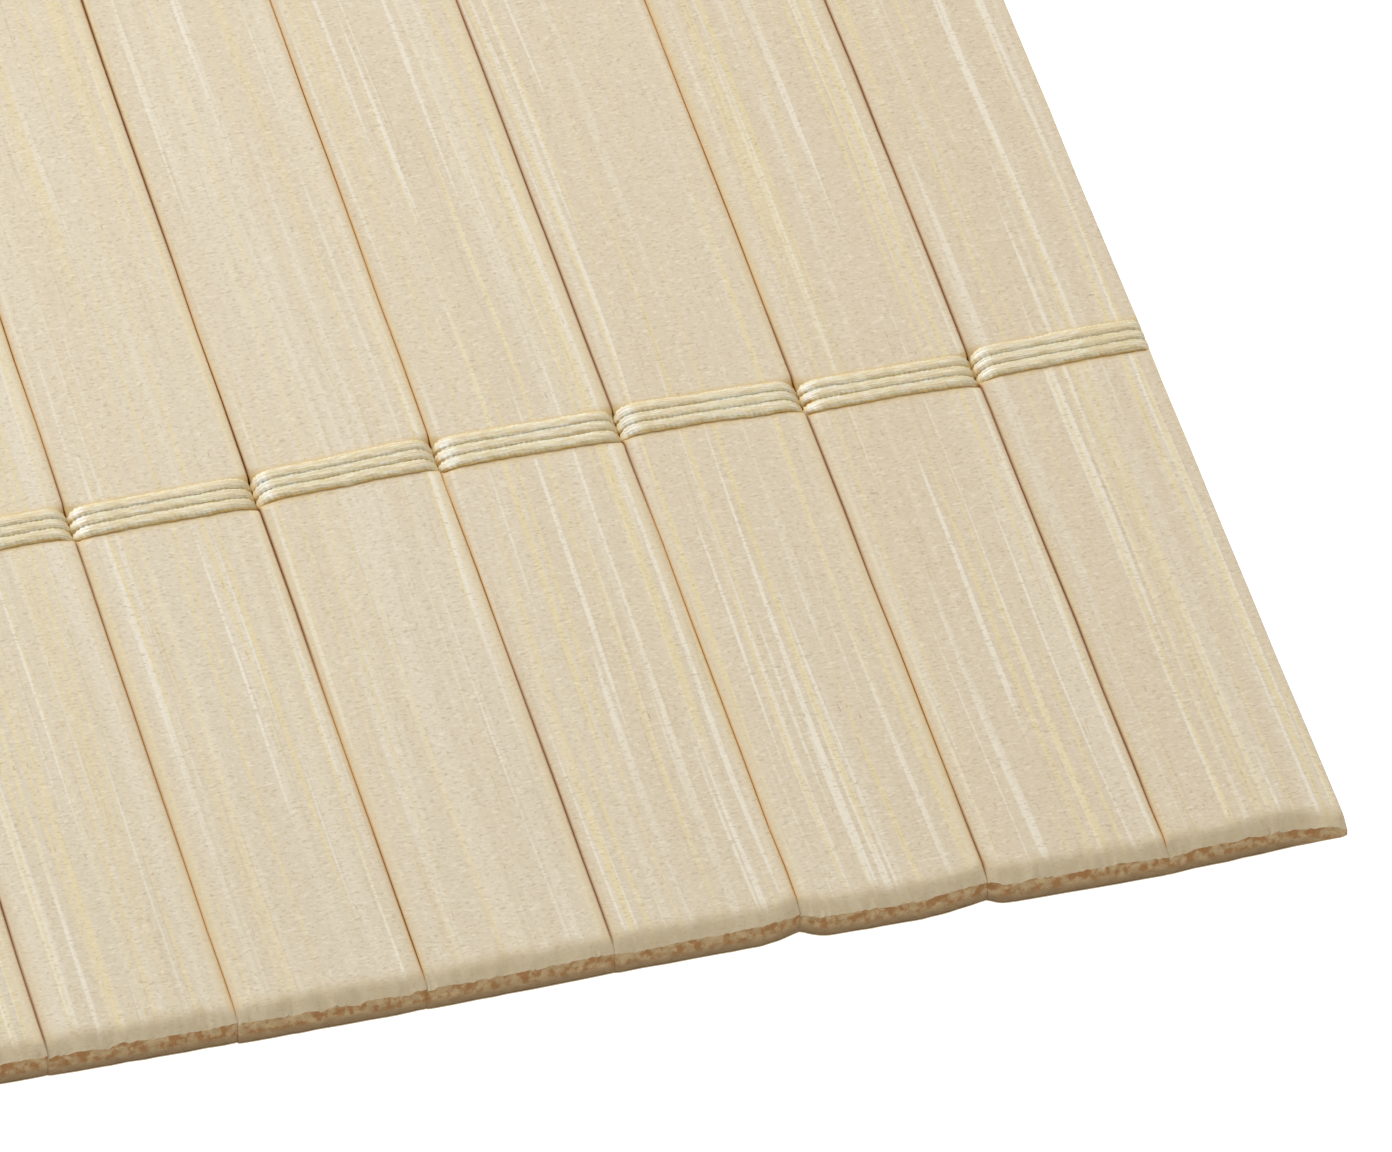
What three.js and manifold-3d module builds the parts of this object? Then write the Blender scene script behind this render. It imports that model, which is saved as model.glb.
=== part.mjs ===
// A bamboo placemat: flat slats laid side by side and lashed together by three rows of cotton cord.
// Millimetres, +Z up. The origin is on the surface that the mat lies on, under the middle of the mat.
// X runs across the slats, along the cord rows. Y runs along the slats, and their front ends are at -Y.
import * as THREE from "three";
import { mergeVertices } from "three/addons/utils/BufferGeometryUtils.js";
import Module from "manifold-3d";

const wasm = await Module();
wasm.setup();

// The mat as a whole
const MAT_LENGTH = 450; // over the slats, along X
const MAT_WIDTH = 350; // the length of a slat, along Y
const SLAT_COUNT = 26;
const CLEARANCE = 0.3; // kept between a cord and the slat it goes round

// A slat
const SLAT_THICKNESS = 3.4;
const SLAT_GAP = 0.35; // between the edges of two slats
const EDGE_RADIUS = 0.45; // the long edges are rounded
const EDGE_STEPS = 1; // straight steps in each rounded edge
const BEVEL_RUN = 1.4; // the top edge of each cut end is sanded off, this far along the slat
const BEVEL_DROP = 0.75; // and this far down
const CURL_BEND = 0.55; // where a rubbed corner's outline bends, as a share of its run

// The cord rows
const CORD_ROWS = 3;
const ROW_TO_END = 67.6; // from a slat's end to the middle of the nearest row
const STRAND_WIDTH = 1.35;
const STRANDS = 3; // side by side on each face of the mat
const CORD_HEIGHT = 0.55; // of a strand pressed on to the slat
const CORD_UNDER_HEIGHT = 0.6; // of a strand pressed flat between the slat and the table
const VALLEY_SHARE = 0.6; // height of the groove between two strands, as a share of a strand
const PINCH_SHARE = 0.9; // the strands draw together to this share of their width in a gap
const DIP_HEIGHT_SHARE = 0.85; // and are pressed to this share of their height there
const DIP_INTO_GAP = 0.6; // how far below the slat's face the cord's inner side dips at a gap
const TIE_THICKNESS = 1.0; // of the cord where it passes down through a gap, along X
const TIE_WIDTH = 3.4; // and along Y
const TURN_THICKNESS = 0.65; // of the cord where it turns round the mat's outer edges
const TURN_OUT = 0.35; // how far it stands out from them

// The dent that the tight cord presses in a slat's edge, where it passes through the gap. The cord
// starts to dip above the dent's floor.
const DENT_DEPTH = 0.65;
const DENT_MOUTH = 4.6;
const DENT_FLOOR = 4.3;

// Working sizes
const OVERCUT = 2; // how far a cutting block reaches past what it cuts
const BEVEL_BLOCK = 30; // the side of the block that cuts a bevel
const WELD = 1e-4; // corners closer than this are one

// Slats differ a little. Each row is one slat, counted from the right edge of the mat.
// width is a share of the mean. frontLeft and frontRight say how far the front end stands out at the
// slat's left and right edge, curl how far its right-hand corner is rubbed back and run over what
// stretch, and back how far the back end stands out.
const SLAT_ROWS = [
  { width: 0.975, frontLeft: 0.3, frontRight: -0.65, curl: 0, run: 0, back: 0.2 },
  { width: 0.973, frontLeft: 0.1, frontRight: 0.35, curl: 0, run: 0, back: 0.5 },
  { width: 1.014, frontLeft: 0.15, frontRight: 0.25, curl: 0.9, run: 6, back: 1.0 },
  { width: 1.011, frontLeft: 0.0, frontRight: -0.1, curl: 0.85, run: 3.6, back: 0.0 },
  { width: 1.019, frontLeft: 0.25, frontRight: -0.05, curl: 0, run: 0, back: 0.4 },
  { width: 1.016, frontLeft: 0.25, frontRight: 0.25, curl: 0, run: 0, back: -0.3 },
  { width: 1.005, frontLeft: -0.05, frontRight: 0.1, curl: 0, run: 0, back: 0.1 },
  { width: 0.967, frontLeft: -0.2, frontRight: -0.15, curl: 0, run: 0, back: -0.1 },
];
const MOST_OUT = 1.0; // the furthest that any end stands out
const MIX_STEP = 3; // the slats that the table has no row for step through it by this many rows
const MIX_START = 2;

const SLAT_BOTTOM = CORD_UNDER_HEIGHT + CLEARANCE;
const SLAT_TOP = SLAT_BOTTOM + SLAT_THICKNESS;

// The slats at the right take the table's rows in order, and the others take them mixed.
function rowOfSlat(fromRight) {
  const count = SLAT_ROWS.length;
  const mixed = (fromRight * MIX_STEP + MIX_START) % count;
  return SLAT_ROWS[fromRight < count ? fromRight : mixed];
}

// Left and right edge of each slat, from the left end of the mat.
function layOutSlats() {
  const rows = Array.from({ length: SLAT_COUNT }, (_, i) => rowOfSlat(SLAT_COUNT - 1 - i));
  const shares = rows.reduce((sum, row) => sum + row.width, 0);
  const meanWidth = (MAT_LENGTH - SLAT_GAP * (SLAT_COUNT - 1)) / shares;
  let x = -MAT_LENGTH / 2;
  return rows.map((row) => {
    const left = x;
    const right = left + row.width * meanWidth;
    x = right + SLAT_GAP;
    return { ...row, left, right };
  });
}

// Middle of each cord row, along Y.
function rowPositions() {
  const reach = MAT_WIDTH / 2 - ROW_TO_END;
  return Array.from({ length: CORD_ROWS }, (_, i) => -reach + (2 * reach * i) / (CORD_ROWS - 1));
}

function toSolid(geometry) {
  const bare = geometry.index ? geometry.toNonIndexed() : geometry.clone();
  bare.deleteAttribute("normal");
  bare.deleteAttribute("uv");
  const merged = mergeVertices(bare, WELD);
  return new wasm.Manifold(
    new wasm.Mesh({
      numProp: 3,
      vertProperties: merged.attributes.position.array,
      triVerts: new Uint32Array(merged.index.array),
    }),
  );
}

function toGeometry(solid) {
  const mesh = solid.getMesh();
  const geometry = new THREE.BufferGeometry();
  geometry.setAttribute("position", new THREE.BufferAttribute(mesh.vertProperties, 3));
  geometry.setIndex(new THREE.BufferAttribute(mesh.triVerts, 1));
  const flat = geometry.toNonIndexed();
  flat.computeVertexNormals();
  return flat;
}

// A box given by its lowest and highest corner.
function boxBetween(low, high) {
  const [sx, sy, sz] = high.map((h, i) => h - low[i]);
  const [cx, cy, cz] = high.map((h, i) => (h + low[i]) / 2);
  return toSolid(new THREE.BoxGeometry(sx, sy, sz).translate(cx, cy, cz));
}

// A closed skin over rings of points. The rings run along +X and each goes round the same way,
// anticlockwise seen from +X.
function skin(rings) {
  const count = rings[0].length;
  const positions = rings.flat().flatMap((p) => [p.x, p.y, p.z]);
  const index = [];
  for (let r = 0; r + 1 < rings.length; r++) {
    for (let i = 0; i < count; i++) {
      const here = r * count + i;
      const next = r * count + ((i + 1) % count);
      index.push(here, next, here + count, next, next + count, here + count);
    }
  }
  const contour = rings[0].map((p) => new THREE.Vector2(p.y, p.z));
  const farContour = rings.at(-1).map((p) => new THREE.Vector2(p.y, p.z));
  const last = (rings.length - 1) * count;
  for (const [a, b, c] of THREE.ShapeUtils.triangulateShape(contour, [])) {
    index.push(a, c, b);
  }
  for (const [a, b, c] of THREE.ShapeUtils.triangulateShape(farContour, [])) {
    index.push(last + a, last + b, last + c);
  }
  const geometry = new THREE.BufferGeometry();
  geometry.setAttribute("position", new THREE.Float32BufferAttribute(positions, 3));
  geometry.setIndex(index);
  return toSolid(geometry);
}

// A slat's cross-section: a flat strip with rounded long edges, lying on y = 0 of the shape.
function slatSection(width) {
  const r = EDGE_RADIUS;
  const h = SLAT_THICKNESS;
  const section = new THREE.Shape();
  section.moveTo(r, 0);
  section.lineTo(width - r, 0);
  section.absarc(width - r, r, r, -Math.PI / 2, 0);
  section.lineTo(width, h - r);
  section.absarc(width - r, h - r, r, 0, Math.PI / 2);
  section.lineTo(r, h);
  section.absarc(r, h - r, r, Math.PI / 2, Math.PI);
  section.lineTo(0, r);
  section.absarc(r, r, r, Math.PI, 1.5 * Math.PI);
  return section;
}

// The outline, seen from above, that a slat's end is sawn to. side is -1 for the front end and 1 for
// the back end, and the other values say how far it stands out and how its right corner is rubbed.
function endOutline(slat, side, outLeft, outRight, curl) {
  const far = side * (MAT_WIDTH / 2 + 2 * MOST_OUT + OVERCUT);
  const slope = (outRight - outLeft) / (slat.right - slat.left);
  const out = (x) => outLeft + slope * (x - slat.left);
  const at = (x, rubbed) => new THREE.Vector2(x, side * (MAT_WIDTH / 2 + out(x) - rubbed));
  const points = [at(slat.left - OVERCUT, 0)];
  if (curl > 0) {
    points.push(at(slat.right - slat.run, 0));
    points.push(at(slat.right - slat.run * CURL_BEND, curl * CURL_BEND * CURL_BEND));
    points.push(at(slat.right, curl));
  }
  points.push(at(slat.right + OVERCUT, curl));
  points.push(new THREE.Vector2(slat.right + OVERCUT, far), new THREE.Vector2(slat.left - OVERCUT, far));
  return new THREE.Shape(points);
}

// The saw cut and the sanded bevel at one end of a slat, as two blocks to take away.
function endCut(slat, side, outLeft, outRight, curl) {
  const middle = (slat.left + slat.right) / 2;
  const turn = side * Math.atan2(outRight - outLeft, slat.right - slat.left);
  const end = side * (MAT_WIDTH / 2 + (outLeft + outRight) / 2);
  const saw = new THREE.ExtrudeGeometry(endOutline(slat, side, outLeft, outRight, curl), {
    depth: SLAT_TOP + 2 * OVERCUT,
    bevelEnabled: false,
  });
  const bevel = new THREE.BoxGeometry(BEVEL_BLOCK, BEVEL_BLOCK, BEVEL_BLOCK);
  bevel.translate(0, 0, BEVEL_BLOCK / 2);
  bevel.rotateX(-side * Math.atan2(BEVEL_DROP, BEVEL_RUN));
  bevel.rotateZ(turn).translate(middle, end, SLAT_TOP - BEVEL_DROP);
  return [toSolid(saw.translate(0, 0, -OVERCUT)), toSolid(bevel)];
}

// The dent for one cord row in one edge of a slat. into is the way into the slat, 1 or -1 along X.
function dent(edge, into, rowY) {
  const outside = edge - into * SLAT_GAP;
  const floor = edge + into * DENT_DEPTH;
  const outline = new THREE.Shape([
    new THREE.Vector2(outside, rowY - DENT_MOUTH / 2),
    new THREE.Vector2(edge, rowY - DENT_MOUTH / 2),
    new THREE.Vector2(floor, rowY - DENT_FLOOR / 2),
    new THREE.Vector2(floor, rowY + DENT_FLOOR / 2),
    new THREE.Vector2(edge, rowY + DENT_MOUTH / 2),
    new THREE.Vector2(outside, rowY + DENT_MOUTH / 2),
  ]);
  const height = SLAT_TOP + 2 * OVERCUT;
  const prism = new THREE.ExtrudeGeometry(outline, { depth: height, bevelEnabled: false });
  return toSolid(prism.translate(0, 0, -OVERCUT));
}

function makeSlat(slat, rows) {
  const longer = MAT_WIDTH + 4 * MOST_OUT;
  const blank = new THREE.ExtrudeGeometry(slatSection(slat.right - slat.left), {
    depth: longer,
    bevelEnabled: false,
    curveSegments: EDGE_STEPS,
  });
  blank.rotateX(Math.PI / 2).translate(slat.left, longer / 2, SLAT_BOTTOM);
  const cuts = [
    ...endCut(slat, -1, slat.frontLeft, slat.frontRight, slat.curl),
    ...endCut(slat, 1, slat.back, slat.back, 0),
    ...rows.flatMap((y) => [dent(slat.left, 1, y), dent(slat.right, -1, y)]),
  ];
  return cuts.reduce((solid, cut) => solid.subtract(cut), toSolid(blank));
}

// One ring of the cord row on the upper face: a ridge for each strand, on a flat inner side.
function upperRing(x, rowY, innerZ, share, height) {
  const pitch = STRAND_WIDTH * share;
  const half = (STRANDS * pitch) / 2;
  const ring = [new THREE.Vector3(x, rowY - half, innerZ), new THREE.Vector3(x, rowY + half, innerZ)];
  for (let s = STRANDS - 1; s >= 0; s--) {
    const y = rowY + (s - (STRANDS - 1) / 2) * pitch;
    ring.push(new THREE.Vector3(x, y, innerZ + height));
    if (s > 0) ring.push(new THREE.Vector3(x, y - pitch / 2, innerZ + height * VALLEY_SHARE));
  }
  return ring;
}

// One ring of the cord row on the under face, where the strands are pressed flat.
function underRing(x, rowY, low, high, share) {
  const half = (STRANDS * STRAND_WIDTH * share) / 2;
  return [
    new THREE.Vector3(x, rowY - half, low),
    new THREE.Vector3(x, rowY + half, low),
    new THREE.Vector3(x, rowY + half, high),
    new THREE.Vector3(x, rowY - half, high),
  ];
}

// Where a row's cords pass down through the mat: at each gap between slats, and round the two outer
// edges, where they are pressed thinner.
function passages(slats) {
  const turnMiddle = TURN_OUT - TURN_THICKNESS / 2;
  const between = slats.slice(1).map((s) => ({ x: s.left - SLAT_GAP / 2, thickness: TIE_THICKNESS }));
  return [
    { x: slats[0].left - turnMiddle, thickness: TURN_THICKNESS },
    ...between,
    { x: slats.at(-1).right + turnMiddle, thickness: TURN_THICKNESS },
  ];
}

// A whole cord row: three strands over each slat and three under it, tied through every gap.
function makeCordRow(slats, rowY) {
  const ways = passages(slats);
  const upper = [];
  const under = [];
  const dipInner = SLAT_TOP - DIP_INTO_GAP;
  const riseInner = SLAT_BOTTOM + DIP_INTO_GAP;
  const dipHeight = CORD_HEIGHT * DIP_HEIGHT_SHARE;
  const addDip = (x) => {
    upper.push(upperRing(x, rowY, dipInner, PINCH_SHARE, dipHeight));
    under.push(underRing(x, rowY, riseInner - dipHeight, riseInner, PINCH_SHARE));
  };
  const addShoulder = (x) => {
    upper.push(upperRing(x, rowY, SLAT_TOP + CLEARANCE, 1, CORD_HEIGHT));
    under.push(underRing(x, rowY, 0, CORD_UNDER_HEIGHT, 1));
  };
  slats.forEach((slat, i) => {
    addDip(ways[i].x);
    addShoulder(slat.left + DENT_DEPTH);
    addShoulder(slat.right - DENT_DEPTH);
  });
  addDip(ways.at(-1).x);
  const ties = ways.map(({ x, thickness }) =>
    boxBetween(
      [x - thickness / 2, rowY - TIE_WIDTH / 2, riseInner - dipHeight / 2],
      [x + thickness / 2, rowY + TIE_WIDTH / 2, dipInner + dipHeight / 2],
    ),
  );
  return ties.reduce((solid, tie) => solid.add(tie), skin(upper).add(skin(under)));
}

const bamboo = new THREE.MeshStandardMaterial({ color: 0xdccdb0, roughness: 0.62, metalness: 0 });
const cotton = new THREE.MeshStandardMaterial({ color: 0xe6dcb4, roughness: 0.8, metalness: 0 });

const placemat = new THREE.Group();
const slats = layOutSlats();
const rows = rowPositions();

slats.forEach((slat, i) => {
  const mesh = new THREE.Mesh(toGeometry(makeSlat(slat, rows)), bamboo);
  mesh.name = `slat_${String(i + 1).padStart(2, "0")}`;
  placemat.add(mesh);
});

rows.forEach((y, i) => {
  const mesh = new THREE.Mesh(toGeometry(makeCordRow(slats, y)), cotton);
  mesh.name = `cord_row_${i + 1}`;
  placemat.add(mesh);
});

export default placemat;
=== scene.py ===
"""A bamboo placemat: pale sanded slats lashed side by side by three rows of twisted cotton cord.

Metres, +Z up. X runs across the slats and Y along them, with the front ends at -Y.
"""
import math

import bmesh
import bpy
import numpy as np
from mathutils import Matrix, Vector


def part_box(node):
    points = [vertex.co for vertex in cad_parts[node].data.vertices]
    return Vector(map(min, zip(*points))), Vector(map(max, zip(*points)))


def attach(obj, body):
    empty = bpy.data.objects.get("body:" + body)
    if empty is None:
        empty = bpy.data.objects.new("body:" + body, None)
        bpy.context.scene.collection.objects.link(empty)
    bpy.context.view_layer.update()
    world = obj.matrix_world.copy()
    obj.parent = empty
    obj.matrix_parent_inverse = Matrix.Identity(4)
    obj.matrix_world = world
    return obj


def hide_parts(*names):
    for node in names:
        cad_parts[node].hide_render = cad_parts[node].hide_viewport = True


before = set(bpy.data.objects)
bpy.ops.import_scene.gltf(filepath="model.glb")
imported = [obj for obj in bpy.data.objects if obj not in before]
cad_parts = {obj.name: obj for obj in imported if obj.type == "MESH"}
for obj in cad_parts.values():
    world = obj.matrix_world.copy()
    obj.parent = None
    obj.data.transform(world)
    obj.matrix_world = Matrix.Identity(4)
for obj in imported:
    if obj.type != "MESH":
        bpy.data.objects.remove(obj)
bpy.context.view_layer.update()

MM = 0.001

# Seeds of the chance values; a piece's number is added to them
SLAT_SEED = 100
DRIFT_SEED = 400
STRAND_SEED = 500
JOINT_SEED = 900
OPENING_SEED = 1300

SLATS = sorted(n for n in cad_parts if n.startswith("slat_"))
CORD_ROWS = sorted(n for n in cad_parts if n.startswith("cord_row_"))

# Slats, in millimetres
EDGE_RADIUS = 0.13
EDGE_SEGMENTS = 4
EDGE_SUPPORT = 0.08  # a narrow strip beside the rounded edge, so that the face beyond it shades flat
EDGE_PROUD = 0.172  # the slats all but touch, and are this much wider than their solids on each side
EDGE_WANDER = 0.05  # how far the joint between two slats strays
JOINT_OPEN = 0.04  # and how far it opens here and there
JOINT_STRAY_STEP = 7.0  # the lengths over which it strays and opens
JOINT_OPEN_STEP = 24.0
BEVEL_RUN = 1.4  # the sanded bevel on the upper edge of each cut end
BEVEL_DROP = 0.75
BEVEL_BEND = 0.4  # how far to either side of its upper border the bevel is rounded, as a share of the run
BEVEL_WANDER = 0.18  # how far the bevel's two borders stray
BEVEL_NICK = 0.2  # and how deep the small nicks in its lower border are
LEAST_DROP = 0.25  # the nicks leave the bevel's drop between these
MOST_DROP = 1.3
SHARP_ANGLE = 42  # degrees; the faces on both sides of a sharper edge shade apart
CORNER_SPREAD = 2.5  # a rounded corner of a cut end reaches this many times its depth along the end
END_CLOSE = 0.03  # near their ends most slats are pressed together, with no gap
CLOSE_REACH = 3.0  # that fades out over this length
OPEN_REACH = 6.0  # nearer to the ends than this, a joint opens less and less
END_STRAY = 0.05  # how far a cut end strays from its sawn line
END_STRAY_STEP = 2.4  # the lengths over which the end, the bevel's run and its drop stray
BEVEL_RUN_STEP = 0.9
BEVEL_DROP_STEP = 1.3
NEAR_END = 10.0  # only vertices nearer to an end than this follow its sawn line
END_LINE_REACH = 4.0  # that line is read from the solid's vertices this near to the end
MAT_CORNER_OUT = 1.9  # the right front corner of the mat sticks out this far, and is thinner from below
MAT_CORNER_RISE = 1.8
MAT_CORNER_REACH = 6.0
MAT_CORNER_SOLID = 1.0  # the upper part of the corner that isn't thinned
END_ROUGHNESS = 0.07
JOINTLESS = 3.0  # added to the distance from the mat's outer edges, so that they get neither the joint's tint nor the painted shade along the edges
ARRIS = 0.16  # the lower edge of a cut end is rubbed off by this much
CROWN = 0.04  # how much higher a slat is in the middle than at its edges
DENT_DEPTH = 0.12  # how far the tight cord has worn into a long edge
DENT_WIDTH = 1.0
DENT_FLAT = 1.3  # from a cord row's middle to where the dent begins to fade, and to where it ends
DENT_REACH = 2.8
DENT_SINK = 0.85  # and the cord presses the face down beside it
OUTER_SINK = 0.15
SINK_WIDTH = 2.0
SINK_CURVE = 1.6  # the power by which the pressed part falls off
ROW_SHADOW_REACH = 2.75  # the cord rows' painted shadow reaches this far on the face from a row's middle, and fades over this much
ROW_SHADOW_FADE = 0.6
END_ZONE = 2.3  # the part at each end that gets a fine mesh
END_FADE = 8.0  # beyond it, the end's shape fades out over this length
SAME_PLACE = 0.01  # vertices nearer than this to a cut end or a level are on it
WALL_FACING = 0.93  # faces that look further to the side than this are the wall in the gap
COLUMN = 0.36  # the width of a column of that fine mesh
END_LEVELS = 5

# Where a slat's mesh is sliced, in millimetres: from its ends, to both sides of a cord row, along
# the rest of its face, and across it. The last are shares of SINK_WIDTH.
END_RINGS = (0.15, 0.45, 0.8, 1.1, 1.4, 1.7, 2.0, END_ZONE, 3.2, 6.0)
ROW_RING_REACH = 4.2
ROW_RINGS = 17
FACE_RING_START = 12.0
FACE_RINGS = 34
FACE_RINGS_CLEAR = 5.0  # how near to a cord row's middle they come
FACE_COLUMNS = 8
SINK_COLUMNS = (0.3, 0.5, 0.75, 1.0)

# Cords, in millimetres
STRANDS = 3
STRAND_WIDTH = 1.62
LANE_STEP = 1.34  # from the middle of one strand to the next
ROW_SHIFT = 0.1
STRAND_HEIGHT = 0.6  # the strands are pressed flat
STRAND_OUT = 0.07  # from the slat's face to the middle of a strand
STRAND_STEP = 0.5
STRAND_SIDES = 14
PLY_TURN = 3.4  # length of one full turn of the two plies
PLY_LOBE = 0.03
STRAND_WANDER = 0.06
STRAND_WANDER_STEP = 4.0
STRAND_SWELL = 0.05  # how much a strand's width varies, as a share
STRAND_SWELL_STEP = 2.2
CURVE_SHARES = 12  # points on a strand's curve from one control row to the next

# The slats, counted from the right edge of the mat: how yellow each is, and how far its corners are
# rounded back. The other slats get chance values.
# The paler a slat, the more painted shade it gets near its ends.
SLAT_LOOKS = [
    {"tone": 1.0, "left_corner": 0.05, "right_corner": 0.25},
    {"tone": 0.9, "left_corner": 0.6, "right_corner": 0.05},
    {"tone": 0.5, "left_corner": 1.1, "right_corner": 0.05},
    {"tone": 0.2, "left_corner": 0.05, "right_corner": 0.05},
    {"tone": 0.0, "left_corner": 0.05, "right_corner": 0.05},
    {"tone": -0.3, "left_corner": 0.05, "right_corner": 0.05},
    {"tone": -0.5, "left_corner": 0.05, "right_corner": 0.05},
    {"tone": -0.8, "left_corner": 0.05, "right_corner": 0.05},
]
TIGHT_CORNER = 0.2  # slats touch where their corners are rounded less than this
CHANCE_CORNERS = (0.05, 0.05, 0.5)

# How far the cord row lies towards the back at a slat's left and right side. Each row is one slat,
# counted from the right edge of the mat, and the other slats get chance values.
ROW_DRIFT = [
    {"left": -0.25, "right": 0.0},
    {"left": -0.6, "right": -0.75},
    {"left": 0.45, "right": 0.05},
    {"left": 0.25, "right": 0.25},
    {"left": 0.12, "right": 0.8},
    {"left": -0.3, "right": -0.25},
    {"left": 0.0, "right": 0.05},
]
CHANCE_DRIFT = 0.3
DRIFT_INSET = 1.2  # those values hold this far from the slat's sides

# The camera, solved from the gaps, the slat ends and the cord row in the photograph
CAMERA_LENS = 403.7
CAMERA_AZIMUTH = -14.55
CAMERA_ELEVATION = 43.2
CAMERA_DISTANCE = 1450.4
AIM_FROM_RIGHT_EDGE = 49.3
AIM_FROM_FRONT = 45.9
FLOOR_SIZE = 6.0  # metres, from its middle to its edges

slat_low, slat_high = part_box(SLATS[-1])
MAT_RIGHT = slat_high.x / MM
MAT_FRONT = -175.0
SLAT_BOTTOM = slat_low.z / MM
SLAT_TOP = slat_high.z / MM
SLAT_MIDDLE = (SLAT_BOTTOM + SLAT_TOP) / 2


def row_middle(node):
    """Y of a cord row's middle, in millimetres."""
    a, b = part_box(node)
    return (a.y + b.y) / 2 / MM


ROW_Y = [row_middle(node) for node in CORD_ROWS]


# Node materials


class Value:
    """A shader socket that takes part in Python arithmetic; each operation adds a Math node."""

    def __init__(self, material, socket):
        self.material = material
        self.socket = socket

    def math(self, operation, *others):
        inputs = dict(enumerate((self, *others)))
        return self.material.value("ShaderNodeMath", {"operation": operation}, inputs)

    def __add__(self, other):
        return self.math("ADD", other)

    def __sub__(self, other):
        return self.math("SUBTRACT", other)

    def __rsub__(self, other):
        flipped = {0: other, 1: self}
        return self.material.value("ShaderNodeMath", {"operation": "SUBTRACT"}, flipped)

    def __mul__(self, other):
        return self.math("MULTIPLY", other)

    __radd__ = __add__
    __rmul__ = __mul__

    def between(self, start, end):
        """0 up to start, 1 from end on, and smooth in the middle; end may be the smaller."""
        settings = {"interpolation_type": "SMOOTHSTEP", "clamp": True}
        inputs = {0: self, 1: start, 2: end, 3: 0.0, 4: 1.0}
        return self.material.value("ShaderNodeMapRange", settings, inputs)


class NodeMaterial:
    """A material under construction, with one method that adds any node."""

    def __init__(self, name):
        self.material = bpy.data.materials.new(name)
        self.material.use_nodes = True
        self.tree = self.material.node_tree
        self.tree.nodes.clear()

    def node(self, kind, settings, inputs):
        made = self.tree.nodes.new(kind)
        for key, setting in settings.items():
            setattr(made, key, setting)
        for key, value in inputs.items():
            if isinstance(value, Value):
                value = value.socket
            if isinstance(value, bpy.types.NodeSocket):
                self.tree.links.new(value, made.inputs[key])
            else:
                made.inputs[key].default_value = value
        return made

    def value(self, kind, settings, inputs, output=0):
        return Value(self, self.node(kind, settings, inputs).outputs[output])

    def stretch(self, vector, by, shift=(0.0, 0.0, 0.0)):
        settings = {"operation": "MULTIPLY_ADD"}
        inputs = {0: vector, 1: by, 2: shift}
        return self.node("ShaderNodeVectorMath", settings, inputs).outputs[0]

    def noise(self, vector, scale=1.0, detail=2.0, roughness=0.5, distortion=0.0):
        inputs = {
            "Vector": vector,
            "Scale": scale,
            "Detail": detail,
            "Roughness": roughness,
            "Distortion": distortion,
        }
        return self.value("ShaderNodeTexNoise", {}, inputs)

    def mix(self, factor, first, second, blend="MIX"):
        settings = {"data_type": "RGBA", "blend_type": blend}
        inputs = {0: factor, 6: first, 7: second}
        return self.node("ShaderNodeMix", settings, inputs).outputs[2]

    def bump(self, height, distance, strength=1.0):
        inputs = {"Height": height, "Distance": distance, "Strength": strength}
        return self.node("ShaderNodeBump", {}, inputs).outputs[0]

    def finish(self, **sockets):
        inputs = {key.replace("_", " "): value for key, value in sockets.items()}
        shader = self.node("ShaderNodeBsdfPrincipled", {}, inputs).outputs[0]
        self.node("ShaderNodeOutputMaterial", {}, {"Surface": shader})
        return self.material


def colour(red, green, blue):
    """A screen colour, 0 to 255, as the linear colour that a shader takes."""
    shares = [c / 255 for c in (red, green, blue)]
    linear = [s / 12.92 if s <= 0.04045 else ((s + 0.055) / 1.055) ** 2.4 for s in shares]
    return (*linear, 1.0)


class SlatPattern:
    """Coordinates and fibre patterns that the slat materials share, in millimetres."""

    def __init__(self, m):
        self.m = m
        texture = m.node("ShaderNodeTexCoord", {}, {})
        self.place = m.stretch(texture.outputs["Object"], (1 / MM, 1 / MM, 1 / MM))
        slat = m.node("ShaderNodeAttribute", {"attribute_name": "slat"}, {})
        parts = m.node("ShaderNodeSeparateXYZ", {}, {0: slat.outputs["Vector"]})
        self.from_left = Value(m, parts.outputs[0])
        self.from_right = Value(m, parts.outputs[1])
        self.tone = Value(m, parts.outputs[2])
        depth = m.node("ShaderNodeAttribute", {"attribute_name": "depth"}, {})
        self.depth = Value(m, depth.outputs["Fac"])
        # Mask of the painted shade in the cord dents
        press_shade = m.node("ShaderNodeAttribute", {"attribute_name": "press_shade"}, {})
        self.press_shade = Value(m, press_shade.outputs["Fac"])
        # Mask of the cord rows' painted shadow on the face
        under = m.node("ShaderNodeAttribute", {"attribute_name": "under"}, {})
        self.under = Value(m, under.outputs["Fac"])
        waver = m.noise(m.stretch(self.place, (0.02, 0.012, 0.02)), detail=1.0)
        offset = m.node("ShaderNodeCombineXYZ", {}, {0: waver * 3.0, 1: self.tone * 400.0})
        sum_settings = {"operation": "ADD"}
        inputs = {0: self.place, 1: offset.outputs[0]}
        self.fibre = m.node("ShaderNodeVectorMath", sum_settings, inputs).outputs[0]

    def lines(self, across, along, start, end, shift=0.0, detail=1.0):
        """Lengthwise lines, about across wide and along long, where the noise passes start."""
        vector = self.m.stretch(self.fibre, (1 / across, 1 / along, 0.5 / across), (shift, shift, shift))
        return self.m.noise(vector, detail=detail).between(start, end)

    def grain(self, size, shift=0.0, detail=2.0):
        """Fine wavy sanding marks, about size long and twice as wide across the slat, -1 to 1."""
        vector = self.m.stretch(self.fibre, (0.5 / size, 1 / size, 1 / size), (shift, shift, shift))
        return self.m.noise(vector, detail=detail, distortion=0.5) * 2.0 - 1.0


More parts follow.
